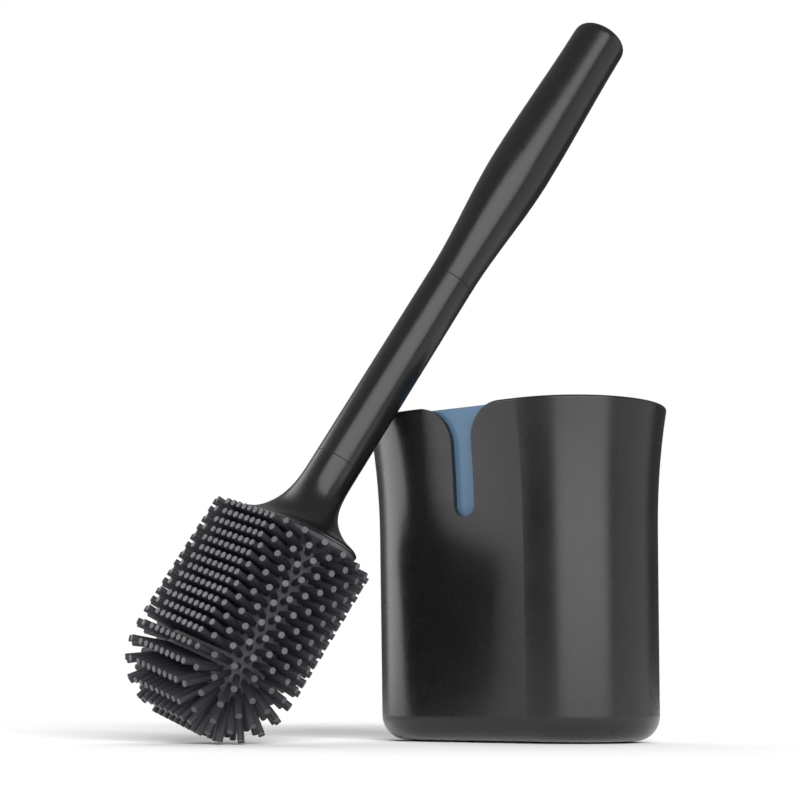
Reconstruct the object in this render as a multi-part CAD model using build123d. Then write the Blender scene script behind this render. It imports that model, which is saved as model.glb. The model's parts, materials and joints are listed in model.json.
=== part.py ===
from build123d import *
import os
from math import atan, cos, degrees, pi, radians, sin

# A toilet brush and the oblong cup that holds it. The cup stands on its pad
# with its notched broad side towards -Y. The brush leans on the cup's rim.
# Lengths are in millimetres and angles in degrees.

# Holder shell
HOLDER_HEIGHT = 150.0
END_SPACING = 57.0
BASE_RADIUS = 38.8
WALL_DRAFT = 2.3
FLARE_START = 95.0
RIM_FLARE = 4.5
BASE_ROUNDING = 11.0
SHELL_WALL = 2.6
SHELL_FLOOR = 3.0
RIM_ROUNDING = 1.1

# Notch in the shell's front wall
NOTCH_WIDTH = 10.9
NOTCH_DEPTH = 50.6
NOTCH_MOUTH_RADIUS = 17.0
NOTCH_OFFSET = -2.0

# Non-slip pad, let into the underside of the shell
PAD_THICKNESS = 1.8
PAD_PROUD = 0.6
PAD_MARGIN = 3.0

# Inner liner, a loose cup that lifts out of the shell
LINER_SIDE_GAP = 0.4
LINER_SEAT_GAP = 0.3
LINER_WALL = 1.8
LINER_FLOOR = 2.0
LINER_DROP = 1.0

# Shaft, and the screwed ends that join it to the neck and the grip
SHAFT_RADIUS = 11.15
SHAFT_LENGTH = 102.5
SHAFT_BORE_RADIUS = 8.6
SPIGOT_RADIUS = 7.0
SPIGOT_LENGTH = 16.0
SCREW_CLEARANCE = 0.15
SOCKET_SPARE = 1.0
SHAFT_END_WALL = 4.0
SEAL_THICKNESS = 0.5
SEAL_RECESS = 0.25

# Grip
GRIP_BELLY_RADIUS = 14.9
GRIP_BELLY_HEIGHT = 70.0
GRIP_CROWN_RADIUS = 13.3
GRIP_CROWN_HEIGHT = 147.5
GRIP_CROWN_RISE = 5.7
GRIP_BORE_RADIUS = 5.5
GRIP_CROWN_WALL = 5.0

# Neck, which flares out over the top of the brush head
NECK_LENGTH = 38.5
NECK_STRAIGHT = 3.5
FLANGE_HALF_WIDTH = 40.5
FLANGE_HALF_DEPTH = 18.5
FLANGE_EDGE = 1.0
FLARE_STEPS = 9
FLARE_POWER = 3.2
FLARE_DEPTH_POWER = 10

# Bristle sleeve, a soft sock over the neck's flat core. Its strands stand in level
# rings, and below the last of them in a fan whose droop grows in steps to the bottom
HEAD_SPACING = 34.2
SLEEVE_RADIUS = 11.7
SLEEVE_WALL = 2.4
SLEEVE_FIT = 0.1
PLATE_THICKNESS = 1.8
PLATE_MARGIN = 0.3
SHOULDER_DROP = 7.0
SHOULDER_MARGIN = 0.3
TIP_RADIUS = 28.2
BRISTLE_WIDTH = 2.8
BRISTLE_ROOT = 1.2
BRISTLE_SPACING = 5.1
ROW_PITCH = 4.78
ROW_COUNT = 13
ROW_STAGGER = 0.5
FIRST_ROW_DROP = 1.8
FAN_DROP = 8.2
FAN_STEPS = 6
FAN_POWER = 1.3

# How the brush stands: its lean from upright, the plan direction it leans in,
# its turn about its own axis and where around the left end it meets the rim
LEAN = 31.5
LEAN_HEADING = 50.9
HEAD_TURN = 30.8
REST_ANGLE = -102.0
LEAN_GAP = 0.5
FLOOR_GAP = 0.3

# Largest share of a wall's thickness that the rounding of one edge takes up
EDGE_SHARE = 0.45

DRAFT_ANGLE = degrees(atan(WALL_DRAFT / HOLDER_HEIGHT))
LIP_RADIUS = min(RIM_ROUNDING, EDGE_SHARE * SHELL_WALL)
LINER_INSET = SHELL_WALL + LINER_SIDE_GAP
SHELL_FLOOR_TOP = PAD_PROUD + SHELL_FLOOR
CORE_RADIUS = SLEEVE_RADIUS - SLEEVE_WALL
GRIP_START = SHAFT_LENGTH + SEAL_THICKNESS
HEAD_TOP = NECK_LENGTH + PLATE_THICKNESS
LEVEL_REACH = HEAD_TOP + FIRST_ROW_DROP + (ROW_COUNT - 1) * ROW_PITCH
HEAD_REACH = LEVEL_REACH + FAN_DROP


def wall_radius(height):
    """Outside radius of a rounded end on the straight part of the wall."""
    return BASE_RADIUS + WALL_DRAFT * height / HOLDER_HEIGHT


def cup_profile(inset, bottom, rounding):
    """Half section of a filled cup whose wall lies inset inside the shell's outer face."""
    draft = radians(DRAFT_ANGLE)
    corner_top = bottom + rounding * (1 - sin(draft))
    corner_foot = wall_radius(corner_top) - inset - rounding * cos(draft)
    rim_point = (wall_radius(HOLDER_HEIGHT) + RIM_FLARE - inset, HOLDER_HEIGHT)
    floor_line = Line((0, bottom), (corner_foot, bottom))
    corner = JernArc((corner_foot, bottom), (1, 0), rounding, 90 - DRAFT_ANGLE)
    wall = Line(corner @ 1, (wall_radius(FLARE_START) - inset, FLARE_START))
    flare = TangentArc(wall @ 1, rim_point, tangent=wall % 1)
    rim_line = Line(rim_point, (0, HOLDER_HEIGHT))
    middle_line = Line((0, HOLDER_HEIGHT), (0, bottom))
    return make_face([floor_line, corner, wall, flare, rim_line, middle_line])


def capsule_profile(radius, top, centre):
    """Half section of a round-bottomed post whose bottom is centred at the height given."""
    bottom_point = (0, centre - radius)
    side_foot = (radius, centre)
    bottom_arc = RadiusArc(bottom_point, side_foot, -radius)
    side = Line(side_foot, (radius, top))
    top_line = Line((radius, top), (0, top))
    middle_line = Line((0, top), bottom_point)
    return make_face([bottom_arc, side, top_line, middle_line])


def oblong(profile, spacing):
    """Turn a half section round two ends, the spacing apart, and run it straight between them."""
    front = Plane.YZ * mirror(profile, about=Plane.YZ)
    back = Plane.YZ * profile
    right_end = Pos(spacing / 2, 0, 0) * revolve(front, Axis.Z, 180)
    left_end = Rot(0, 0, 180) * right_end
    sides = extrude(front, spacing / 2, both=True) + extrude(back, spacing / 2, both=True)
    return right_end + left_end + sides


def make_notch():
    """The keyhole that is cut through the front wall: a round-bottomed slot with a rounded mouth."""
    half = NOTCH_WIDTH / 2
    mouth_foot = HOLDER_HEIGHT - NOTCH_MOUTH_RADIUS
    slot_foot = HOLDER_HEIGHT - NOTCH_DEPTH + half
    slot_height = HOLDER_HEIGHT - slot_foot
    slot = Pos(0, slot_foot + slot_height / 2) * Rectangle(NOTCH_WIDTH, slot_height)
    slot += Pos(0, slot_foot) * Circle(half)
    mouth_width = NOTCH_WIDTH + 2 * NOTCH_MOUTH_RADIUS
    mouth = Pos(0, mouth_foot + NOTCH_MOUTH_RADIUS / 2) * Rectangle(mouth_width, NOTCH_MOUTH_RADIUS)
    for side in (-1, 1):
        mouth -= Pos(side * (half + NOTCH_MOUTH_RADIUS), mouth_foot) * Circle(NOTCH_MOUTH_RADIUS)
    reach = wall_radius(HOLDER_HEIGHT) + RIM_FLARE + SHELL_WALL
    return Pos(NOTCH_OFFSET, 0, 0) * extrude(Plane.XZ * (slot + mouth), reach)


def make_pad():
    """The flat oblong pad that the holder stands on."""
    radius = BASE_RADIUS - BASE_ROUNDING - PAD_MARGIN
    return extrude(SlotCenterToCenter(END_SPACING, 2 * radius), PAD_THICKNESS)


def make_shell(pad):
    """The outer cup, with a rounded rim, the crisp-edged notch and the recess for the pad."""
    outside = oblong(cup_profile(0, PAD_PROUD, BASE_ROUNDING), END_SPACING)
    inner_rounding = BASE_ROUNDING - SHELL_WALL
    inside = oblong(cup_profile(SHELL_WALL, SHELL_FLOOR_TOP, inner_rounding), END_SPACING)
    cup = outside - inside
    cup = fillet(cup.edges().group_by(Axis.Z)[-1], LIP_RADIUS)
    return cup - make_notch() - pad


def make_liner():
    """The loose inner cup, which follows the shell's wall and stops just under its rim."""
    bottom = SHELL_FLOOR_TOP + LINER_SEAT_GAP
    outer_rounding = BASE_ROUNDING - SHELL_WALL
    outside = oblong(cup_profile(LINER_INSET, bottom, outer_rounding), END_SPACING)
    inner_inset = LINER_INSET + LINER_WALL
    inside = oblong(cup_profile(inner_inset, bottom + LINER_FLOOR, outer_rounding - LINER_WALL), END_SPACING)
    liner = outside - inside
    trim = Plane.XY.offset(HOLDER_HEIGHT - LINER_DROP)
    liner = split(liner, bisect_by=trim, keep=Keep.BOTTOM)
    return fillet(liner.edges().group_by(Axis.Z)[-1], EDGE_SHARE * LINER_WALL)


def make_neck():
    """The neck: a socket for the shaft, a flare over the head and a flat core inside the sleeve."""
    drop = NECK_LENGTH - FLANGE_EDGE - NECK_STRAIGHT
    sections = []
    for step in range(FLARE_STEPS):
        share = step / (FLARE_STEPS - 1)
        half_width = SHAFT_RADIUS + (FLANGE_HALF_WIDTH - SHAFT_RADIUS) * share**FLARE_POWER
        half_depth = SHAFT_RADIUS + (FLANGE_HALF_DEPTH - SHAFT_RADIUS) * share**FLARE_DEPTH_POWER
        sections.append(Pos(0, 0, -NECK_STRAIGHT - share * drop) * Ellipse(half_width, half_depth))
    stem = Pos(0, 0, -NECK_STRAIGHT) * extrude(Circle(SHAFT_RADIUS), NECK_STRAIGHT)
    flange = Pos(0, 0, -NECK_LENGTH) * extrude(Ellipse(FLANGE_HALF_WIDTH, FLANGE_HALF_DEPTH), FLANGE_EDGE)
    flange = fillet(flange.edges().group_by(Axis.Z)[0], EDGE_SHARE * FLANGE_EDGE)
    core = oblong(capsule_profile(CORE_RADIUS - SLEEVE_FIT, -NECK_LENGTH, -HEAD_REACH), HEAD_SPACING)
    socket_depth = SPIGOT_LENGTH + SOCKET_SPARE
    socket = Pos(0, 0, -socket_depth) * extrude(Circle(SPIGOT_RADIUS + SCREW_CLEARANCE), socket_depth)
    return stem + loft(sections) + flange + core - socket


def bristle(foot, direction, across):
    """One square strand that stands on the sleeve at foot and is rooted in its wall."""
    length = TIP_RADIUS - SLEEVE_RADIUS + BRISTLE_ROOT
    place = Plane(foot - direction * BRISTLE_ROOT, x_dir=across, z_dir=direction)
    return place * extrude(Rectangle(BRISTLE_WIDTH, BRISTLE_WIDTH), length)


def ring_stop(distance, reach):
    """Where a walk round the head's outline comes to: a point on its spine and the way out from it."""
    half = HEAD_SPACING / 2
    bend = pi * reach
    if distance < HEAD_SPACING:
        return Vector(distance - half, 0, 0), Vector(0, -1, 0)
    distance -= HEAD_SPACING
    if distance < bend:
        return Vector(half, 0, 0), Vector(1, 0, 0).rotate(Axis.Z, degrees(distance / reach) - 90)
    distance -= bend
    if distance < HEAD_SPACING:
        return Vector(half - distance, 0, 0), Vector(0, 1, 0)
    distance -= HEAD_SPACING
    return Vector(-half, 0, 0), Vector(1, 0, 0).rotate(Axis.Z, degrees(distance / reach) + 90)


def fan_stop(walk):
    """Where a walk down the sleeve from its last level ring comes to: how far out and how far down."""
    if walk < FAN_DROP:
        return SLEEVE_RADIUS, LEVEL_REACH + walk
    angle = (walk - FAN_DROP) / SLEEVE_RADIUS
    return SLEEVE_RADIUS * cos(angle), HEAD_REACH + SLEEVE_RADIUS * sin(angle)


def bristle_ring(reach, drop, droop, stagger):
    """One ring of evenly spaced strands round the sleeve, pointing droop degrees below level."""
    outline = 2 * HEAD_SPACING + 2 * pi * reach
    count = round(outline / BRISTLE_SPACING)
    strands = []
    for index in range(count):
        spine, outward = ring_stop((index + stagger) * outline / count, reach)
        direction = outward * cos(radians(droop)) - Vector(0, 0, sin(radians(droop)))
        foot = spine + outward * reach - Vector(0, 0, drop)
        strands.append(bristle(foot, direction, outward.cross(Vector(0, 0, 1))))
    return strands


def make_bristles():
    """All strands: level rings down the sleeve, a fan of drooping rings below them, a row underneath."""
    strands = []
    for row in range(ROW_COUNT):
        drop = LEVEL_REACH - row * ROW_PITCH
        strands += bristle_ring(SLEEVE_RADIUS, drop, 0, ROW_STAGGER * (row % 2))
    walk_length = FAN_DROP + pi / 2 * SLEEVE_RADIUS
    for step in range(1, FAN_STEPS):
        share = step / FAN_STEPS
        reach, drop = fan_stop(share * walk_length)
        strands += bristle_ring(reach, drop, 90 * share**FAN_POWER, ROW_STAGGER * (step % 2))
    under_count = round(HEAD_SPACING / BRISTLE_SPACING)
    for index in range(under_count + 1):
        x = HEAD_SPACING * (index / under_count - 0.5)
        foot = Vector(x, 0, -HEAD_REACH - SLEEVE_RADIUS)
        strands.append(bristle(foot, Vector(0, 0, -1), Vector(1, 0, 0)))
    return strands


def make_sleeve():
    """The soft sock with its top plate, the shoulder under it and all its strands, in one piece."""
    sock = oblong(capsule_profile(SLEEVE_RADIUS, -HEAD_TOP, -HEAD_REACH), HEAD_SPACING)
    plate_outline = Ellipse(FLANGE_HALF_WIDTH - PLATE_MARGIN, FLANGE_HALF_DEPTH - PLATE_MARGIN)
    plate = Pos(0, 0, -HEAD_TOP) * extrude(plate_outline, PLATE_THICKNESS)
    foot_outline = Ellipse(HEAD_SPACING / 2 + SLEEVE_RADIUS + SHOULDER_MARGIN, SLEEVE_RADIUS + SHOULDER_MARGIN)
    shoulder = loft([Pos(0, 0, -HEAD_TOP) * plate_outline, Pos(0, 0, -HEAD_TOP - SHOULDER_DROP) * foot_outline])
    hollow = oblong(capsule_profile(CORE_RADIUS, -NECK_LENGTH, -HEAD_REACH), HEAD_SPACING)
    sleeve = sock + plate + shoulder - hollow
    strands = make_bristles()
    print("bristles:", len(strands))
    return sleeve.fuse(*strands)


def make_seal(height, bore_radius):
    """A thin seal ring at a screwed joint, set back a little from the surface."""
    ring = Circle(SHAFT_RADIUS - SEAL_RECESS) - Circle(bore_radius + SCREW_CLEARANCE)
    return Pos(0, 0, height) * extrude(ring, SEAL_THICKNESS)


def make_shaft():
    """The hollow shaft, with a spigot below and an open socket above."""
    tube_length = SHAFT_LENGTH - SEAL_THICKNESS
    tube = Pos(0, 0, SEAL_THICKNESS) * extrude(Circle(SHAFT_RADIUS), tube_length)
    spigot = Pos(0, 0, -SPIGOT_LENGTH) * extrude(Circle(SPIGOT_RADIUS), SPIGOT_LENGTH + SEAL_THICKNESS)
    bore_foot = SEAL_THICKNESS + SHAFT_END_WALL
    bore = Pos(0, 0, bore_foot) * extrude(Circle(SHAFT_BORE_RADIUS), SHAFT_LENGTH - bore_foot)
    return tube + spigot - bore


def make_grip():
    """The swelling grip with a domed top, bored from below, and its screwed spigot."""
    foot = (SHAFT_RADIUS, GRIP_START)
    belly = (GRIP_BELLY_RADIUS, GRIP_START + GRIP_BELLY_HEIGHT)
    crown = (GRIP_CROWN_RADIUS, GRIP_START + GRIP_CROWN_HEIGHT)
    top = (0, crown[1] + GRIP_CROWN_RISE)
    lower_side = Spline(foot, belly, tangents=[(0, 1), (0, 1)])
    upper_side = Spline(belly, crown, tangents=[(0, 1), (0, 1)])
    dome = Spline(crown, top, tangents=[(0, 1), (-1, 0)])
    middle_line = Line(top, (0, GRIP_START))
    foot_line = Line((0, GRIP_START), foot)
    section = make_face([lower_side, upper_side, dome, middle_line, foot_line])
    body = revolve(Plane.XZ * section, Axis.Z, 360)
    spigot_radius = SHAFT_BORE_RADIUS - SCREW_CLEARANCE
    spigot_foot = GRIP_START - SEAL_THICKNESS - SPIGOT_LENGTH
    spigot = Pos(0, 0, spigot_foot) * extrude(Circle(spigot_radius), GRIP_START - spigot_foot)
    bore_top = crown[1] - GRIP_CROWN_WALL
    bore = Pos(0, 0, spigot_foot) * extrude(Circle(GRIP_BORE_RADIUS), bore_top - spigot_foot)
    return body + spigot - bore


def brush_plane(sleeve):
    """Where the brush stands: its shaft rests on the rim's lip and its lowest bristles on the floor."""
    heading = radians(LEAN_HEADING)
    level = Vector(cos(heading), sin(heading), 0)
    axis = level * sin(radians(LEAN)) + Vector(0, 0, cos(radians(LEAN)))
    side = Vector(sin(heading), -cos(heading), 0)
    broad = side * cos(radians(HEAD_TURN)) + axis.cross(side) * sin(radians(HEAD_TURN))
    rest = radians(REST_ANGLE)
    outward = Vector(cos(rest), sin(rest), 0)
    tangent = Vector(-sin(rest), cos(rest), 0)
    lip_reach = wall_radius(HOLDER_HEIGHT) + RIM_FLARE - LIP_RADIUS
    lip = Vector(-END_SPACING / 2, 0, HOLDER_HEIGHT - LIP_RADIUS) + outward * lip_reach
    beside_lip = lip + tangent.cross(axis).normalized() * (SHAFT_RADIUS + LIP_RADIUS + LEAN_GAP)
    leaning = Plane(beside_lip, x_dir=broad, z_dir=axis)
    lowest = (leaning * sleeve).bounding_box().min.Z
    return Plane(beside_lip + axis * (FLOOR_GAP - lowest) / axis.Z, x_dir=broad, z_dir=axis)


pad = make_pad()
sleeve = make_sleeve()
brush = brush_plane(sleeve)
print("brush origin:", brush.origin, "axis:", brush.z_dir, "broad side:", brush.x_dir)
pieces = {
    "holder_shell": make_shell(pad),
    "inner_liner": make_liner(),
    "base_pad": pad,
    "bristle_sleeve": brush * sleeve,
    "neck": brush * make_neck(),
    "lower_seal": brush * make_seal(0, SPIGOT_RADIUS),
    "shaft": brush * make_shaft(),
    "upper_seal": brush * make_seal(SHAFT_LENGTH, SHAFT_BORE_RADIUS),
    "grip": brush * make_grip(),
}

os.makedirs("parts", exist_ok=True)
for name, shape in pieces.items():
    export_step(shape, f"parts/{name}.step")
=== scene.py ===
"""Looks of a toilet brush that leans on its black holder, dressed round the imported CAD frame."""

import json
import logging
from dataclasses import dataclass, field
from enum import Enum, IntEnum
from math import cos, pi, radians, sin
from typing import Callable, Iterator

import bmesh
import bpy
from mathutils import Matrix, Vector


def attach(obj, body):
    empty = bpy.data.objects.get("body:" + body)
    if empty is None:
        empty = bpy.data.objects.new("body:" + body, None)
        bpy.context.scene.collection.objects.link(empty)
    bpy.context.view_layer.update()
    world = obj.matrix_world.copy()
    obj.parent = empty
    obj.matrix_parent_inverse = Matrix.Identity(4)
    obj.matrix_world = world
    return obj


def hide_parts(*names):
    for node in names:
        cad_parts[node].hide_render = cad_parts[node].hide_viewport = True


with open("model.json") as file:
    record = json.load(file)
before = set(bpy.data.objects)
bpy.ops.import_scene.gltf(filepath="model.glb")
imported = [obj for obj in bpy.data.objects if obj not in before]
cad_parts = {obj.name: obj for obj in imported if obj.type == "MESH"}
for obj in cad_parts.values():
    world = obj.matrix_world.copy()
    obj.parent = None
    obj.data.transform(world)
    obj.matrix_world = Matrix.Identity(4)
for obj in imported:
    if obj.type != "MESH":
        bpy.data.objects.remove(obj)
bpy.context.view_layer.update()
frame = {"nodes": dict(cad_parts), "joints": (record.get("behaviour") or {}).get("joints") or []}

LOG = logging.getLogger("toilet_brush")

Colour = tuple[float, float, float]
Way = tuple[float, float, float]
Socket = bpy.types.NodeSocket
PlaceTest = Callable[[Vector], bool]

# The way that the broad side of the brush's head runs, in the row frame.
BROAD_SIDE = Vector((0.941938, -0.202912, -0.267542))
# Places closer than this, in metres, count as one.
SNAP = 1e-6
# Faces that meet at less than this angle, in degrees, shade as one surface.
SMOOTH_ANGLE = 38.0
# The part of a noise's values that is spread over the full range.
NOISE_LOW = 0.3
NOISE_HIGH = 0.7
# The watts that give a square metre of area lamp a radiance of 1.
WATTS_PER_RADIANCE = 4.0
WHITE = (1.0, 1.0, 1.0, 1.0)


class Body(str, Enum):
    """The moving bodies that pieces ride on."""

    HEAD = "head"


class Joint(str, Enum):
    """The joints that places are read from."""

    SHAFT_UNSCREW = "shaft_unscrew"


class Node(str, Enum):
    """The CAD nodes, by the names they were packed with."""

    HOLDER_SHELL = "holder_shell"
    INNER_LINER = "inner_liner"
    BASE_PAD = "base_pad"
    BRISTLE_SLEEVE = "bristle_sleeve"
    NECK = "neck"
    LOWER_SEAL = "lower_seal"
    SHAFT = "shaft"
    UPPER_SEAL = "upper_seal"
    GRIP = "grip"


class Slot(str, Enum):
    """The record's material slots, by their packed names; nothing in this script reads them."""

    BRISTLE_RUBBER = "bristle_rubber"


class Part(str, Enum):
    """What is picked in edit mode."""

    VERTICES = "VERT"
    EDGES = "EDGE"
    FACES = "FACE"


class Reach(Enum):
    """What a lamp lights, as the floor's state in the lamp's group of receivers."""

    OBJECT = "EXCLUDE"
    FLOOR = "INCLUDE"


class MixSocket(IntEnum):
    """The mix node's sockets for colours, by their place in its lists."""

    SHARE = 0
    FIRST = 6
    SECOND = 7
    RESULT = 2


def brush_frame() -> Matrix:
    """Gives the leaning brush's own frame: origin at the lower seam, z up the handle.

    Returns:
        The matrix from the brush's frame to the row frame, in metres.
    """
    seam = next(joint for joint in frame["joints"] if joint["name"] == Joint.SHAFT_UNSCREW.value)
    up = Vector(seam["axis"]).normalized()
    broad = (BROAD_SIDE - up * BROAD_SIDE.dot(up)).normalized()
    turn = Matrix((broad, up.cross(broad), up)).transposed().to_4x4()
    return Matrix.Translation(seam["pos_m"]) @ turn


BRUSH = brush_frame()


class NodeBench:
    """A node tree on the bench, with short ways to add nodes and join them."""

    def __init__(self, tree: bpy.types.NodeTree) -> None:
        """Takes the tree and clears it.

        Args:
            tree: The node tree of a material or of the world.
        """
        self.tree = tree
        self.tree.nodes.clear()

    def add(self, kind: str, **inputs: object) -> bpy.types.Node:
        """Adds one node and sets its inputs.

        Args:
            kind: The node's type name, without the leading ShaderNode.
            inputs: Socket values by name, with spaces written as underscores.

        Returns:
            The new node.
        """
        node = self.tree.nodes.new("ShaderNode" + kind)
        for name, value in inputs.items():
            node.inputs[name.replace("_", " ")].default_value = value
        return node

    def join(self, output: Socket, target: Socket) -> None:
        """Links one socket to another."""
        self.tree.links.new(output, target)

    def noise(self, place: Socket, scale: float, detail: float, roughness: float = 0.5) -> Socket:
        """Adds a noise read at a place.

        Args:
            place: The coordinates to read.
            scale: Cells to the metre.
            detail: Octaves of finer noise.
            roughness: The share that each octave keeps.

        Returns:
            The noise's value socket, about 0.25 to 0.75.
        """
        node = self.add("TexNoise", Scale=scale, Detail=detail, Roughness=roughness)
        self.join(place, node.inputs["Vector"])
        return node.outputs["Fac"]

    def spread(self, value: Socket, low: float, high: float, start: float, end: float) -> Socket:
        """Maps a value from one range to another, held at the ends.

        Args:
            value: The socket to map.
            low: The value that maps to start.
            high: The value that maps to end.
            start: The result at low.
            end: The result at high.

        Returns:
            The mapped value's socket.
        """
        node = self.add("MapRange", From_Min=low, From_Max=high, To_Min=start, To_Max=end)
        node.interpolation_type = "SMOOTHSTEP"
        self.join(value, node.inputs["Value"])
        return node.outputs["Result"]

    def calculate(self, operation: str, first: Socket, second: Socket) -> Socket:
        """Adds a math node on two sockets.

        Args:
            operation: The math node's operation, such as MULTIPLY.
            first: The first value.
            second: The second value.

        Returns:
            The result's socket.
        """
        node = self.add("Math")
        node.operation = operation
        self.join(first, node.inputs[0])
        self.join(second, node.inputs[1])
        return node.outputs["Value"]

    def mix(self, share: Socket, first: Colour | Socket, second: Colour) -> Socket:
        """Mixes two colours by a share.

        Args:
            share: 0 for the first colour, 1 for the second.
            first: The first colour, linear, fixed or from a socket.
            second: The second colour, linear.

        Returns:
            The mixed colour's socket.
        """
        node = self.add("Mix")
        node.data_type = "RGBA"
        self.join(share, node.inputs[MixSocket.SHARE])
        if isinstance(first, Socket):
            self.join(first, node.inputs[MixSocket.FIRST])
        else:
            node.inputs[MixSocket.FIRST].default_value = (*first, 1.0)
        node.inputs[MixSocket.SECOND].default_value = (*second, 1.0)
        return node.outputs[MixSocket.RESULT]

    def either(self, share: Socket, first: Socket, second: Socket) -> Socket:
        """Mixes two shaders by a share.

        Args:
            share: 0 for the first shader, 1 for the second.
            first: The first shader.
            second: The second shader.

        Returns:
            The mixed shader's socket.
        """
        node = self.add("MixShader")
        self.join(share, node.inputs["Fac"])
        self.join(first, node.inputs[1])
        self.join(second, node.inputs[2])
        return node.outputs["Shader"]


@dataclass(frozen=True)
class Finish:
    """A moulded surface: colour, gloss, slow drift, fine grain and worn band.

    Scales are cells to the metre. The worn band's scuffs come in from worn_from to worn_to, up the
    z of the coordinates that the finish follows, and there is no band where the two are the same.
    """

    name: str
    colour: Colour
    drift_colour: Colour
    roughness: float
    roughness_drift: float
    drift_scale: float = 28.0
    drift_detail: float = 4.0
    cloud_fineness: float = 4.0
    cloud_detail: float = 2.0
    grain_scale: float = 900.0
    grain_detail: float = 1.0
    grain_height: float = 0.00002
    grain_strength: float = 0.35
    ior: float = 1.5
    worn_from: float = 0.0
    worn_to: float = 0.0
    worn_colour: Colour = (0.05, 0.05, 0.05)
    scuff_scale: float = 420.0
    scuff_detail: float = 5.0
    scuff_roughness: float = 0.65
    scuff_low: float = 0.5
    scuff_high: float = 0.72
    along_brush: bool = False

    def material(self) -> bpy.types.Material:
        """Makes the finish as a procedural material on Object coordinates.

        Returns:
            The finished material.
        """
        made = bpy.data.materials.new(self.name)
        made.use_nodes = True
        bench = NodeBench(made.node_tree)
        place = self.place(bench)
        shader = bench.add("BsdfPrincipled", IOR=self.ior)
        bench.join(self.shade(bench, place), shader.inputs["Base Color"])
        bench.join(self.gloss(bench, place), shader.inputs["Roughness"])
        bench.join(self.grain(bench, place), shader.inputs["Normal"])
        output = bench.add("OutputMaterial")
        bench.join(shader.outputs["BSDF"], output.inputs["Surface"])
        return made

    def place(self, bench: NodeBench) -> Socket:
        """Gives the coordinates the finish follows.

        Args:
            bench: The material's node bench.

        Returns:
            Object coordinates, turned into the brush's frame where the finish follows the handle.
        """
        coordinates = bench.add("TexCoord").outputs["Object"]
        if not self.along_brush:
            return coordinates
        turn = bench.add("Mapping", Location=BRUSH.translation, Rotation=BRUSH.to_euler())
        turn.vector_type = "TEXTURE"
        bench.join(coordinates, turn.inputs["Vector"])
        return turn.outputs["Vector"]

    def shade(self, bench: NodeBench, place: Socket) -> Socket:
        """Mixes the colour with its slow drift, and pales the worn band.

        Args:
            bench: The material's node bench.
            place: The coordinates to follow.

        Returns:
            The colour's socket.
        """
        patches = bench.noise(place, self.drift_scale, self.drift_detail)
        drift = bench.spread(patches, NOISE_LOW, NOISE_HIGH, 0.0, 1.0)
        colour = bench.mix(drift, self.colour, self.drift_colour)
        if self.worn_from == self.worn_to:
            return colour
        split = bench.add("SeparateXYZ")
        bench.join(place, split.inputs["Vector"])
        band = bench.spread(split.outputs["Z"], self.worn_from, self.worn_to, 0.0, 1.0)
        marks = bench.noise(place, self.scuff_scale, self.scuff_detail, self.scuff_roughness)
        scuffs = bench.spread(marks, self.scuff_low, self.scuff_high, 0.0, 1.0)
        return bench.mix(bench.calculate("MULTIPLY", band, scuffs), colour, self.worn_colour)

    def gloss(self, bench: NodeBench, place: Socket) -> Socket:
        """Varies the roughness in cloudy patches.

        Args:
            bench: The material's node bench.
            place: The coordinates to follow.

        Returns:
            The roughness socket.
        """
        clouds = bench.noise(place, self.drift_scale * self.cloud_fineness, self.cloud_detail)
        low = self.roughness - self.roughness_drift
        high = self.roughness + self.roughness_drift
        return bench.spread(clouds, NOISE_LOW, NOISE_HIGH, low, high)

    def grain(self, bench: NodeBench, place: Socket) -> Socket:
        """Raises the fine grain that the mould leaves.

        Args:
            bench: The material's node bench.
            place: The coordinates to follow.

        Returns:
            The normal's socket.
        """
        bump = bench.add("Bump", Strength=self.grain_strength, Distance=self.grain_height)
        bench.join(bench.noise(place, self.grain_scale, self.grain_detail), bump.inputs["Height"])
        return bump.outputs["Normal"]


HOLDER_PLASTIC = Finish(
    "black_holder_plastic",
    colour=(0.0078, 0.0078, 0.008), drift_colour=(0.0098, 0.0098, 0.01),
    roughness=0.27, roughness_drift=0.012, grain_height=0.000003, ior=1.58,
    worn_from=0.1485, worn_to=0.15, worn_colour=(0.022, 0.022, 0.022),
)
HANDLE_PLASTIC = Finish(
    "black_handle_plastic",
    colour=(0.0073, 0.0073, 0.0075), drift_colour=(0.009, 0.009, 0.0092),
    roughness=0.25, roughness_drift=0.012, grain_height=0.000003, ior=1.58,
    worn_from=0.15, worn_to=0.25, worn_colour=(0.015, 0.015, 0.015), along_brush=True,
)
LINER_PLASTIC = Finish(
    "steel_blue_liner_plastic",
    colour=(0.095, 0.182, 0.294), drift_colour=(0.101, 0.191, 0.308),
    roughness=0.36, roughness_drift=0.03, drift_scale=18.0, grain_height=0.000006, ior=1.55,
)
BRISTLE_RUBBER = Finish(
    "charcoal_bristle_rubber",
    colour=(0.037, 0.0388, 0.0446), drift_colour=(0.046, 0.048, 0.0545),
    roughness=0.5, roughness_drift=0.06, drift_scale=60.0, grain_height=0.00001, along_brush=True,
)
# The bristle rubber painted lighter for the sock and plate: painted light for the light that falls on the
# sock between the bristles and on the shoulder.
SOCK_PAINTED_LIGHT_RUBBER = Finish(
    "sock_rubber_painted_light",
    colour=(0.062, 0.0645, 0.072), drift_colour=(0.075, 0.078, 0.0865),
    roughness=0.5, roughness_drift=0.06, drift_scale=60.0, grain_height=0.00001, along_brush=True,
)
# The bristle rubber painted paler on the flat tips: a painted highlight where the tips face the light,
# not a different rubber.
TIP_PAINTED_HIGHLIGHT = Finish(
    "bristle_tip_painted_highlight",
    colour=(0.105, 0.1085, 0.119), drift_colour=(0.128, 0.132, 0.1435),
    roughness=0.55, roughness_drift=0.06, drift_scale=160.0, grain_height=0.00001, along_brush=True,
)
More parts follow.
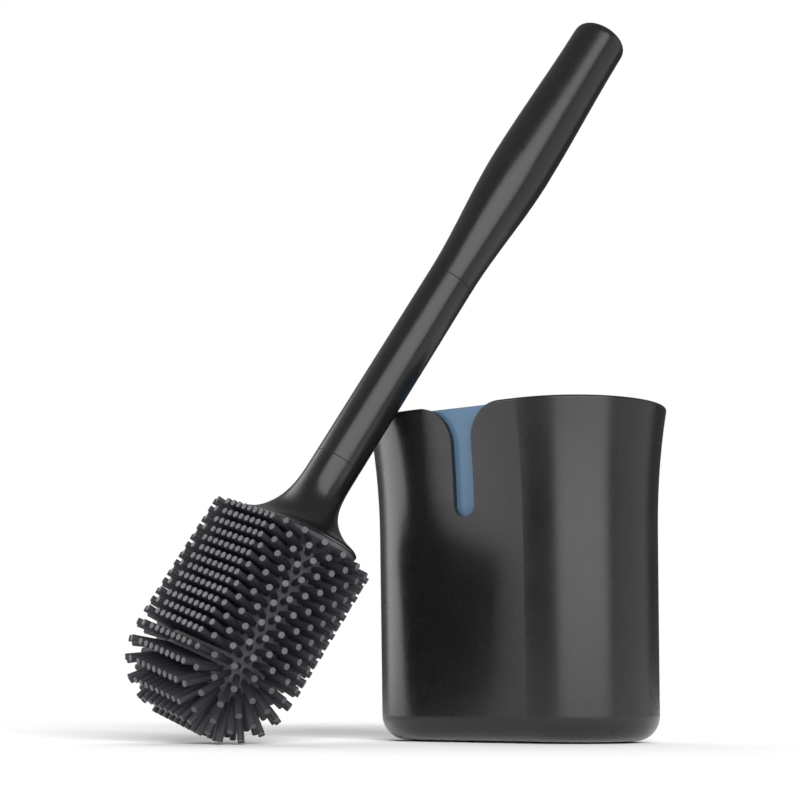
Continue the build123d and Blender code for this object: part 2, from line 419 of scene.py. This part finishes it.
# A dimmer painted tip highlight for the end fan, whose tips point down and away from the light: still
# paler than the bristle rubber.
END_TIP_DIM_PAINTED_HIGHLIGHT = Finish(
    "end_tip_dim_painted_highlight",
    colour=(0.072, 0.0744, 0.0816), drift_colour=(0.088, 0.0905, 0.0985),
    roughness=0.55, roughness_drift=0.06, drift_scale=160.0, grain_height=0.00001, along_brush=True,
)
SEAL_RUBBER = Finish(
    "black_seal_rubber",
    colour=(0.009, 0.009, 0.009), drift_colour=(0.012, 0.012, 0.012),
    roughness=0.55, roughness_drift=0.05, grain_height=0.00001,
)
PAD_RUBBER = Finish(
    "grey_black_pad_rubber",
    colour=(0.016, 0.016, 0.017), drift_colour=(0.022, 0.022, 0.023),
    roughness=0.68, roughness_drift=0.06, grain_height=0.00002,
)
FINISHES: tuple[Finish, ...] = (
    HOLDER_PLASTIC, HANDLE_PLASTIC, LINER_PLASTIC, BRISTLE_RUBBER, SOCK_PAINTED_LIGHT_RUBBER,
    TIP_PAINTED_HIGHLIGHT, END_TIP_DIM_PAINTED_HIGHLIGHT, SEAL_RUBBER, PAD_RUBBER,
)


def clear_selection() -> None:
    """Leaves edit mode and deselects every object."""
    if bpy.context.object and bpy.context.object.mode != "OBJECT":
        bpy.ops.object.mode_set(mode="OBJECT")
    bpy.ops.object.select_all(action="DESELECT")


def pick(piece: bpy.types.Object, part: Part, wanted: PlaceTest) -> None:
    """Selects the edit mesh's vertices, edges or faces by their place.

    Args:
        piece: The object in edit mode.
        part: What is picked.
        wanted: The test of a vertex's place, met by all corners of what is picked.
    """
    bpy.ops.mesh.select_mode(type=part.value)
    bpy.ops.mesh.select_all(action="DESELECT")
    mesh = bmesh.from_edit_mesh(piece.data)
    items = {Part.VERTICES: mesh.verts, Part.EDGES: mesh.edges, Part.FACES: mesh.faces}[part]
    for item in items:
        corners = [item] if part is Part.VERTICES else item.verts
        if all(wanted(corner.co) for corner in corners):
            item.select_set(True)
    mesh.select_flush_mode()
    bmesh.update_edit_mesh(piece.data)


def extrude_along(way: Way) -> None:
    """Extrudes what is selected in edit mode, with the new end moved along a way."""
    bpy.ops.mesh.extrude_region_move(TRANSFORM_OT_translate={"value": way})


def settle(piece: bpy.types.Object, name: str, turn: Matrix) -> bpy.types.Object:
    """Puts a finished piece in its place, with the place in its mesh.

    Args:
        piece: The object, modelled in its own frame.
        name: The piece's name.
        turn: The frame that it was modelled in.

    Returns:
        The same object, at the origin and unturned.
    """
    clear_selection()
    piece.name = name
    piece.data.name = name
    piece.matrix_world = turn
    piece.select_set(True)
    bpy.context.view_layer.objects.active = piece
    bpy.ops.object.transform_apply(location=True, rotation=True, scale=True)
    bpy.ops.object.shade_smooth_by_angle(angle=radians(SMOOTH_ANGLE))
    return piece


@dataclass
class BristleHead:
    """The rubber bristle sock with its plate and its rows of round bristles.

    The sock is a capsule whose two round ends are spacing apart, and the line between their middles
    is its spine. Each reach is a distance below the lower seam, along the brush: head_reach to the
    spine and plate_reach to the plate's top. tip_radius is from the spine to the bristles' tips.
    """

    spacing: float = 0.0342
    head_reach: float = 0.10766
    sleeve_radius: float = 0.0117
    sleeve_wall: float = 0.0024
    sleeve_segments: int = 64
    sleeve_rings: int = 32
    plate_half_width: float = 0.0402
    plate_half_depth: float = 0.0182
    plate_reach: float = 0.0385
    plate_gap: float = 0.0001
    plate_thickness: float = 0.0018
    plate_rounding: float = 0.0006
    plate_rounding_steps: int = 4
    plate_hole_radius: float = 0.0095
    plate_segments: int = 96
    plate_rim_share: float = 0.99
    shoulder_drop: float = 0.007
    shoulder_margin: float = 0.0003
    tip_radius: float = 0.0282
    tip_rounding: float = 0.00018
    tip_facing: float = 0.5
    strand_radius: float = 0.0015
    strand_taper: float = 0.97
    strand_root: float = 0.0012
    strand_sides: int = 12
    strand_spacing: float = 0.0042
    row_pitch: float = 0.00478
    row_count: int = 13
    row_stagger: float = 0.5
    fan_drop: float = 0.0082
    fan_steps: int = 6
    fan_power: float = 1.3
    mouldings: list[bpy.types.Object] = field(default_factory=list)
    strands: list[bpy.types.Object] = field(default_factory=list)

    @property
    def pieces(self) -> list[bpy.types.Object]:
        """All the head's pieces."""
        return self.mouldings + self.strands

    @property
    def level_reach(self) -> float:
        """How far the lowest level row is below the lower seam."""
        return self.head_reach - self.fan_drop

    def build(self) -> None:
        """Models the sock, the plate and all the bristles in the brush's frame."""
        sock = self.sock()
        self.mouldings = [sock, self.plate()]
        self.strands = [
            # The level rows' tips take a paler copy of the rubber, a painted highlight.
            self.bristles("bristles_level_rows", list(self.level_stops()), TIP_PAINTED_HIGHLIGHT),
            # The end fan's tips take the dimmer painted highlight.
            self.bristles("bristles_end_fan", list(self.fan_stops()), END_TIP_DIM_PAINTED_HIGHLIGHT),
        ]
        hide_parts(Node.BRISTLE_SLEEVE.value)
        for piece in self.pieces:
            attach(piece, Body.HEAD.value)

    def dress(self) -> None:
        """Gives the sock and plate their rubber, painted lighter than the bristles' to stand for light
        falling on them; the bristles carry theirs from the first one.
        """
        rubber = bpy.data.materials[SOCK_PAINTED_LIGHT_RUBBER.name]
        for piece in self.mouldings:
            piece.data.materials.clear()
            piece.data.materials.append(rubber)

    def sock(self) -> bpy.types.Object:
        """Models the sock: a capsule stretched to the head's width, open at the plate.

        Returns:
            The sock, settled on the brush.
        """
        clear_selection()
        half = self.spacing / 2
        bpy.ops.mesh.primitive_uv_sphere_add(
            segments=self.sleeve_segments, ring_count=self.sleeve_rings, radius=self.sleeve_radius,
        )
        piece = bpy.context.object
        bpy.ops.object.mode_set(mode="EDIT")
        bpy.ops.mesh.select_all(action="SELECT")
        bpy.ops.mesh.bisect(plane_co=(0, 0, 0), plane_no=(0, 0, 1), clear_outer=True)
        pick(piece, Part.FACES, lambda p: p.x > -SNAP)
        bpy.ops.mesh.split()
        bpy.ops.transform.translate(value=(half, 0, 0))
        pick(piece, Part.FACES, lambda p: p.x < SNAP)
        bpy.ops.transform.translate(value=(-half, 0, 0))
        pick(piece, Part.EDGES, lambda p: abs(abs(p.x) - half) < SNAP)
        bpy.ops.mesh.bridge_edge_loops()
        pick(piece, Part.EDGES, lambda p: abs(p.z) < SNAP)
        extrude_along((0, 0, self.head_reach - self.plate_reach - self.plate_gap))
        bpy.ops.mesh.select_all(action="SELECT")
        bpy.ops.mesh.remove_doubles(threshold=SNAP)
        bpy.ops.mesh.normals_make_consistent(inside=False)
        bpy.ops.object.mode_set(mode="OBJECT")
        wall = piece.modifiers.new("wall", "SOLIDIFY")
        wall.thickness = self.sleeve_wall
        wall.offset = -1.0
        bpy.ops.object.modifier_apply(modifier=wall.name)
        return settle(piece, "bristle_sock", BRUSH @ Matrix.Translation((0, 0, -self.head_reach)))

    def on_plate_rim(self, place: Vector) -> bool:
        """Tells whether a place of the plate is on its oval rim."""
        across, along = place.x / self.plate_half_width, place.y / self.plate_half_depth
        return across**2 + along**2 > self.plate_rim_share

    def plate(self) -> bpy.types.Object:
        """Models the oval plate that closes the sock under the flange, with the shoulder below it.

        Returns:
            The plate, settled on the brush.
        """
        clear_selection()
        half = self.spacing / 2
        bpy.ops.mesh.primitive_circle_add(vertices=self.plate_segments, radius=self.plate_hole_radius)
        piece = bpy.context.object
        bpy.ops.object.mode_set(mode="EDIT")
        pick(piece, Part.VERTICES, lambda p: p.x > SNAP)
        bpy.ops.transform.translate(value=(half, 0, 0))
        pick(piece, Part.VERTICES, lambda p: p.x < -SNAP)
        bpy.ops.transform.translate(value=(-half, 0, 0))
        bpy.ops.mesh.select_all(action="DESELECT")
        bpy.ops.mesh.primitive_circle_add(vertices=self.plate_segments, radius=1.0)
        bpy.ops.transform.resize(value=(self.plate_half_width, self.plate_half_depth, 1.0))
        bpy.ops.mesh.select_all(action="SELECT")
        bpy.ops.mesh.bridge_edge_loops()
        bpy.ops.mesh.select_all(action="SELECT")
        extrude_along((0, 0, -self.plate_thickness))
        extrude_along((0, 0, -self.shoulder_drop))
        shoulder_middle = -self.plate_thickness - self.shoulder_drop / 2
        pick(piece, Part.VERTICES, lambda p: self.on_plate_rim(p) and p.z < shoulder_middle)
        foot_depth = self.sleeve_radius + self.shoulder_margin
        foot_width = half + foot_depth
        foot = (foot_width / self.plate_half_width, foot_depth / self.plate_half_depth, 1.0)
        bpy.ops.transform.resize(value=foot)
        bpy.ops.mesh.select_all(action="SELECT")
        bpy.ops.mesh.normals_make_consistent(inside=False)
        under = -self.plate_thickness
        pick(piece, Part.EDGES, lambda p: self.on_plate_rim(p) and abs(p.z - under) < SNAP)
        bpy.ops.mesh.bevel(offset=self.plate_rounding, segments=self.plate_rounding_steps, affect="EDGES")
        bpy.ops.object.mode_set(mode="OBJECT")
        return settle(piece, "bristle_plate", BRUSH @ Matrix.Translation((0, 0, -self.plate_reach)))

    def first_strand(self, tip_painted_highlight: Finish) -> bpy.types.Object:
        """Models one round bristle along +x, with a slight taper and a softened flat tip, whose end faces
        get a paler copy of the rubber as a painted highlight.

        Args:
            tip_painted_highlight: The paler finish of the flat tip, a painted highlight.

        Returns:
            The bristle that the others are copied from.
        """
        clear_selection()
        tip = self.tip_radius - self.sleeve_radius
        length = tip + self.strand_root
        bpy.ops.mesh.primitive_cylinder_add(
            vertices=self.strand_sides, radius=self.strand_radius, depth=length,
            location=(length / 2 - self.strand_root, 0, 0), rotation=(0, radians(90), 0),
        )
        piece = bpy.context.object
        bpy.ops.object.transform_apply(location=True, rotation=True, scale=True)
        bpy.ops.object.mode_set(mode="EDIT")
        pick(piece, Part.FACES, lambda p: p.x > tip - SNAP)
        bpy.ops.transform.resize(value=(1.0, self.strand_taper, self.strand_taper))
        bpy.ops.mesh.bevel(offset=self.tip_rounding, segments=1, affect="EDGES")
        bpy.ops.object.mode_set(mode="OBJECT")
        # The flat end faces take the paler tip finish, a painted highlight; the sides keep the plain
        # rubber.
        for finish in (BRISTLE_RUBBER, tip_painted_highlight):
            piece.data.materials.append(bpy.data.materials[finish.name])
        for face in piece.data.polygons:
            face.material_index = int(face.normal.x > self.tip_facing)
        return piece

    def bristles(self, name: str, stops: list[Matrix], tip_painted_highlight: Finish) -> bpy.types.Object:
        """Copies the first bristle to each stop and joins the copies.

        Args:
            name: The joined piece's name.
            stops: Each bristle's frame, in the brush's frame.
            tip_painted_highlight: The paler finish of the bristles' tips, a painted highlight.

        Returns:
            The joined bristles, settled on the brush.
        """
        first = self.first_strand(tip_painted_highlight)
        copies = []
        for stop in stops:
            strand = first.copy()
            strand.data = first.data.copy()
            strand.matrix_world = stop
            bpy.context.scene.collection.objects.link(strand)
            copies.append(strand)
        bpy.data.objects.remove(first)
        clear_selection()
        for strand in copies:
            strand.select_set(True)
        bpy.context.view_layer.objects.active = copies[0]
        bpy.ops.object.join()
        bpy.ops.object.transform_apply(location=True, rotation=True, scale=True)
        return settle(copies[0], name, BRUSH)

    def ring_stop(self, distance: float, reach: float) -> tuple[Vector, Vector]:
        """Walks round the stadium outline of a ring.

        Args:
            distance: How far along the outline.
            reach: The outline's distance from the spine.

        Returns:
            The point of the spine and the outward direction there.
        """
        half = self.spacing / 2
        bend = pi * reach
        if distance < self.spacing:
            return Vector((distance - half, 0, 0)), Vector((0, -1, 0))
        distance -= self.spacing
        if distance < bend:
            angle = distance / reach - pi / 2
            return Vector((half, 0, 0)), Vector((cos(angle), sin(angle), 0))
        distance -= bend
        if distance < self.spacing:
            return Vector((half - distance, 0, 0)), Vector((0, 1, 0))
        angle = (distance - self.spacing) / reach + pi / 2
        return Vector((-half, 0, 0)), Vector((cos(angle), sin(angle), 0))

    def ring(self, reach: float, drop: float, droop: float, stagger: float) -> Iterator[Matrix]:
        """Stops of one ring of bristles round the sock.

        Args:
            reach: How far the feet stand from the spine.
            drop: How far the ring is below the lower seam.
            droop: How far the bristles point down, in radians.
            stagger: The share of a step that the ring is turned by.

        Returns:
            Each bristle's frame, with x along it.
        """
        outline = 2 * self.spacing + 2 * pi * reach
        count = round(outline / self.strand_spacing)
        for step in range(count):
            spine, outward = self.ring_stop((step + stagger) * outline / count, reach)
            foot = spine + outward * reach - Vector((0, 0, drop))
            yield self.stop(foot, outward * cos(droop) - Vector((0, 0, sin(droop))))

    def stop(self, foot: Vector, along: Vector) -> Matrix:
        """Gives the frame of a bristle from its foot and direction."""
        turn = along.to_track_quat("X", "Z").to_matrix().to_4x4()
        return Matrix.Translation(foot) @ turn

    def level_stops(self) -> Iterator[Matrix]:
        """Stops of the level rows, every other one turned by half a step.

        Returns:
            Each bristle's frame, in the brush's frame.
        """
        for row in range(self.row_count):
            drop = self.level_reach - row * self.row_pitch
            yield from self.ring(self.sleeve_radius, drop, 0.0, self.row_stagger * (row % 2))

    def fan_stops(self) -> Iterator[Matrix]:
        """Stops of the rows that fan out over the sock's round end, down to the row under it.

        Returns:
            Each bristle's frame, in the brush's frame.
        """
        walk_length = self.fan_drop + pi / 2 * self.sleeve_radius
        for step in range(1, self.fan_steps):
            share = step / self.fan_steps
            walk = walk_length * share
            reach = self.sleeve_radius
            drop = self.level_reach + walk
            if walk >= self.fan_drop:
                angle = (walk - self.fan_drop) / self.sleeve_radius
                reach = self.sleeve_radius * cos(angle)
                drop = self.head_reach + self.sleeve_radius * sin(angle)
            droop = pi / 2 * share**self.fan_power
            yield from self.ring(reach, drop, droop, self.row_stagger * (step % 2))
        count = round(self.spacing / self.strand_spacing)
        for step in range(count + 1):
            across = step / count * self.spacing - self.spacing / 2
            foot = Vector((across, 0, -self.head_reach - self.sleeve_radius))
            yield self.stop(foot, Vector((0, 0, -1)))


@dataclass
class MouldedParts:
    """The CAD solids that show as they are, each with its own finish."""

    finishes: dict[Node, Finish] = field(default_factory=lambda: {
        Node.HOLDER_SHELL: HOLDER_PLASTIC,
        Node.INNER_LINER: LINER_PLASTIC,
        Node.BASE_PAD: PAD_RUBBER,
        Node.NECK: HANDLE_PLASTIC,
        Node.LOWER_SEAL: SEAL_RUBBER,
        Node.SHAFT: HANDLE_PLASTIC,
        Node.UPPER_SEAL: SEAL_RUBBER,
        Node.GRIP: HANDLE_PLASTIC,
    })

    def dress(self) -> None:
        """Puts each solid's finish in its material slots."""
        for node, finish in self.finishes.items():
            piece = frame["nodes"][node.value]
            material = bpy.data.materials[finish.name]
            for place in piece.material_slots:
                place.material = material
            if not piece.material_slots:
                piece.data.materials.append(material)


@dataclass(frozen=True)
class Softbox:
    """A large soft lamp that faces the object from a bearing and height, both in degrees.

    The bearing turns from the front, -y, towards +x.
    """

    name: str
    bearing: float
    height: float
    distance: float
    width: float
    tall: float
    radiance: float
    reach: Reach = Reach.OBJECT

    def build(self, aim: Vector) -> bpy.types.Object:
        """Sets the lamp up.

        Args:
            aim: The point that it faces.

        Returns:
            The lamp's object.
        """
        turn = radians(self.bearing)
        rise = radians(self.height)
        away = Vector((sin(turn) * cos(rise), -cos(turn) * cos(rise), sin(rise)))
        data = bpy.data.lights.new(self.name, "AREA")
        data.shape = "RECTANGLE"
        data.size = self.width
        data.size_y = self.tall
        data.energy = WATTS_PER_RADIANCE * self.radiance * self.width * self.tall
        lamp = bpy.data.objects.new(self.name, data)
        bpy.context.scene.collection.objects.link(lamp)
        lamp.location = aim + away * self.distance
        lamp.rotation_euler = away.to_track_quat("Z", "Y").to_euler()
        lamp.visible_camera = False
        return lamp


@dataclass
class Studio:
    """The pale floor, the soft lamps, the white surround and the camera.

    The sky's rises are the z of the directions that it is looked at in. The white wall stands at its
    bearing, and its edge and core are cosines of the angle from there.
    """

    aim: Vector = field(default_factory=lambda: Vector((-0.02, -0.04, 0.1)))
    floor_radius: float = 0.9
    floor_segments: int = 96
    floor_drop: float = 0.0002
    floor_colour: Colour = (0.5, 0.5, 0.5)
    fade_from: float = 0.5
    fade_to: float = 0.85
    low_sky: float = 0.09
    high_sky: float = 0.24
    low_sky_rise: float = 0.05
    high_sky_rise: float = 0.42
    white_wall: float = 0.68
    wall_bearing: float = 120.0
    wall_edge: float = 0.82
    wall_core: float = 0.93
    lens: float = 76.95
    sensor_width: float = 36.0
    clip_start: float = 0.01
    eye: Vector = field(default_factory=lambda: Vector((0.41931, -0.67864, 0.019474)))
    look: Vector = field(default_factory=lambda: Vector((-0.57332, 0.80116, 0.17160)))
    lamps: tuple[Softbox, ...] = (
        Softbox(
            "right_softbox", bearing=49.0, height=12.0, distance=1.2,
            width=1.56, tall=1.5, radiance=1.92,
        ),
        Softbox(
            "left_softbox", bearing=-64.0, height=10.0, distance=1.2,
            width=1.62, tall=1.4, radiance=1.9,
        ),
        Softbox(
            "high_floor_lamp", bearing=211.0, height=60.0, distance=8.0,
            width=8.0, tall=8.0, radiance=2.5, reach=Reach.FLOOR,
        ),
        Softbox(
            "low_floor_lamp", bearing=46.0, height=16.0, distance=20.0,
            width=13.0, tall=3.4, radiance=102.0, reach=Reach.FLOOR,
        ),
    )

    def build(self) -> None:
        """Sets up the floor, surround, lamps and camera."""
        floor = self.floor()
        groups = {reach: self.receivers(floor, reach) for reach in Reach}
        self.surround()
        for lamp in self.lamps:
            lamp.build(self.aim).light_linking.receiver_collection = groups[lamp.reach]
        self.camera()
        bpy.context.scene.view_settings.view_transform = "Standard"

    def floor(self) -> bpy.types.Object:
        """Lays a round pale floor that keeps the shadow and fades into the white surround.

        Returns:
            The floor's object.
        """
        clear_selection()
        bpy.ops.mesh.primitive_circle_add(
            vertices=self.floor_segments, radius=self.floor_radius, fill_type="NGON",
            location=(0, 0, -self.floor_drop),
        )
        floor = bpy.context.object
        floor.name = "floor"
        floor.data.materials.append(self.floor_paint())
        return floor

    def floor_paint(self) -> bpy.types.Material:
        """Makes the floor's pale paint, which turns white away from the object.

        Returns:
            The floor's material.
        """
        made = bpy.data.materials.new("pale_floor")
        made.use_nodes = True
        bench = NodeBench(made.node_tree)
        paint = bench.add("BsdfDiffuse", Color=(*self.floor_colour, 1.0))
        white = bench.add("Emission", Color=WHITE, Strength=1.0)
        distance = bench.add("VectorMath")
        distance.operation = "LENGTH"
        bench.join(bench.add("TexCoord").outputs["Object"], distance.inputs[0])
        fade = bench.spread(distance.outputs["Value"], self.fade_from, self.fade_to, 0.0, 1.0)
        rays = bench.add("LightPath").outputs
        seen = bench.calculate("MAXIMUM", rays["Is Camera Ray"], rays["Is Transmission Ray"])
        shown = bench.calculate("MAXIMUM", seen, rays["Is Glossy Ray"])
        far = bench.calculate("MULTIPLY", fade, shown)
        surface = bench.either(far, paint.outputs["BSDF"], white.outputs["Emission"])
        output = bench.add("OutputMaterial")
        bench.join(surface, output.inputs["Surface"])
        return made

    def receivers(self, floor: bpy.types.Object, reach: Reach) -> bpy.types.Collection:
        """Makes the group that a lamp's light is kept to.

        Args:
            floor: The floor's object.
            reach: Whether the lamp lights the object or the floor.

        Returns:
            The group, with the floor in or out of it.
        """
        group = bpy.data.collections.new("lit_" + reach.name.lower())
        group.objects.link(floor)
        group.collection_objects[0].light_linking.link_state = reach.value
        return group

    def surround(self) -> None:
        """Makes the world dim for light, white to the camera, and a white wall to the gloss."""
        world = bpy.data.worlds.new("white_surround")
        bpy.context.scene.world = world
        world.use_nodes = True
        bench = NodeBench(world.node_tree)
        rays = bench.add("LightPath").outputs
        direction = bench.add("TexCoord").outputs["Generated"]
        facing = bench.add("VectorMath")
        facing.operation = "DOT_PRODUCT"
        bench.join(direction, facing.inputs[0])
        turn = radians(self.wall_bearing)
        facing.inputs[1].default_value = (sin(turn), -cos(turn), 0.0)
        wall = bench.spread(facing.outputs["Value"], self.wall_edge, self.wall_core, 0.0, self.white_wall)
        gloss = bench.calculate("MULTIPLY", wall, rays["Is Glossy Ray"])
        seen = bench.calculate("MAXIMUM", rays["Is Camera Ray"], rays["Is Transmission Ray"])
        split = bench.add("SeparateXYZ")
        bench.join(direction, split.inputs["Vector"])
        sky = bench.spread(
            split.outputs["Z"], self.low_sky_rise, self.high_sky_rise, self.low_sky, self.high_sky,
        )
        dim = bench.add("Background", Color=WHITE)
        bench.join(sky, dim.inputs["Strength"])
        white = bench.add("Background", Color=WHITE, Strength=1.0)
        shown = bench.calculate("MAXIMUM", seen, gloss)
        surface = bench.either(shown, dim.outputs["Background"], white.outputs["Background"])
        output = bench.add("OutputWorld")
        bench.join(surface, output.inputs["Surface"])

    def camera(self) -> None:
        """Sets the camera where the photograph was taken from."""
        data = bpy.data.cameras.new("camera")
        data.lens = self.lens
        data.sensor_width = self.sensor_width
        data.clip_start = self.clip_start
        eye = bpy.data.objects.new("camera", data)
        bpy.context.scene.collection.objects.link(eye)
        eye.location = self.eye
        eye.rotation_euler = self.look.to_track_quat("-Z", "Y").to_euler()
        bpy.context.scene.camera = eye


def main() -> None:
    """Builds and dresses the object, then sets up the studio."""
    logging.basicConfig(level=logging.INFO, format="%(name)s: %(message)s")
    for finish in FINISHES:
        finish.material()
        LOG.info("finish %s", finish.name)
    head = BristleHead()
    head.build()
    head.dress()
    for piece in head.pieces:
        LOG.info("piece %s: %d faces", piece.name, len(piece.data.polygons))
    parts = MouldedParts()
    parts.dress()
    for node, finish in parts.finishes.items():
        LOG.info("solid %s in %s", node.value, finish.name)
    Studio().build()


if __name__ == "__main__":
    main()
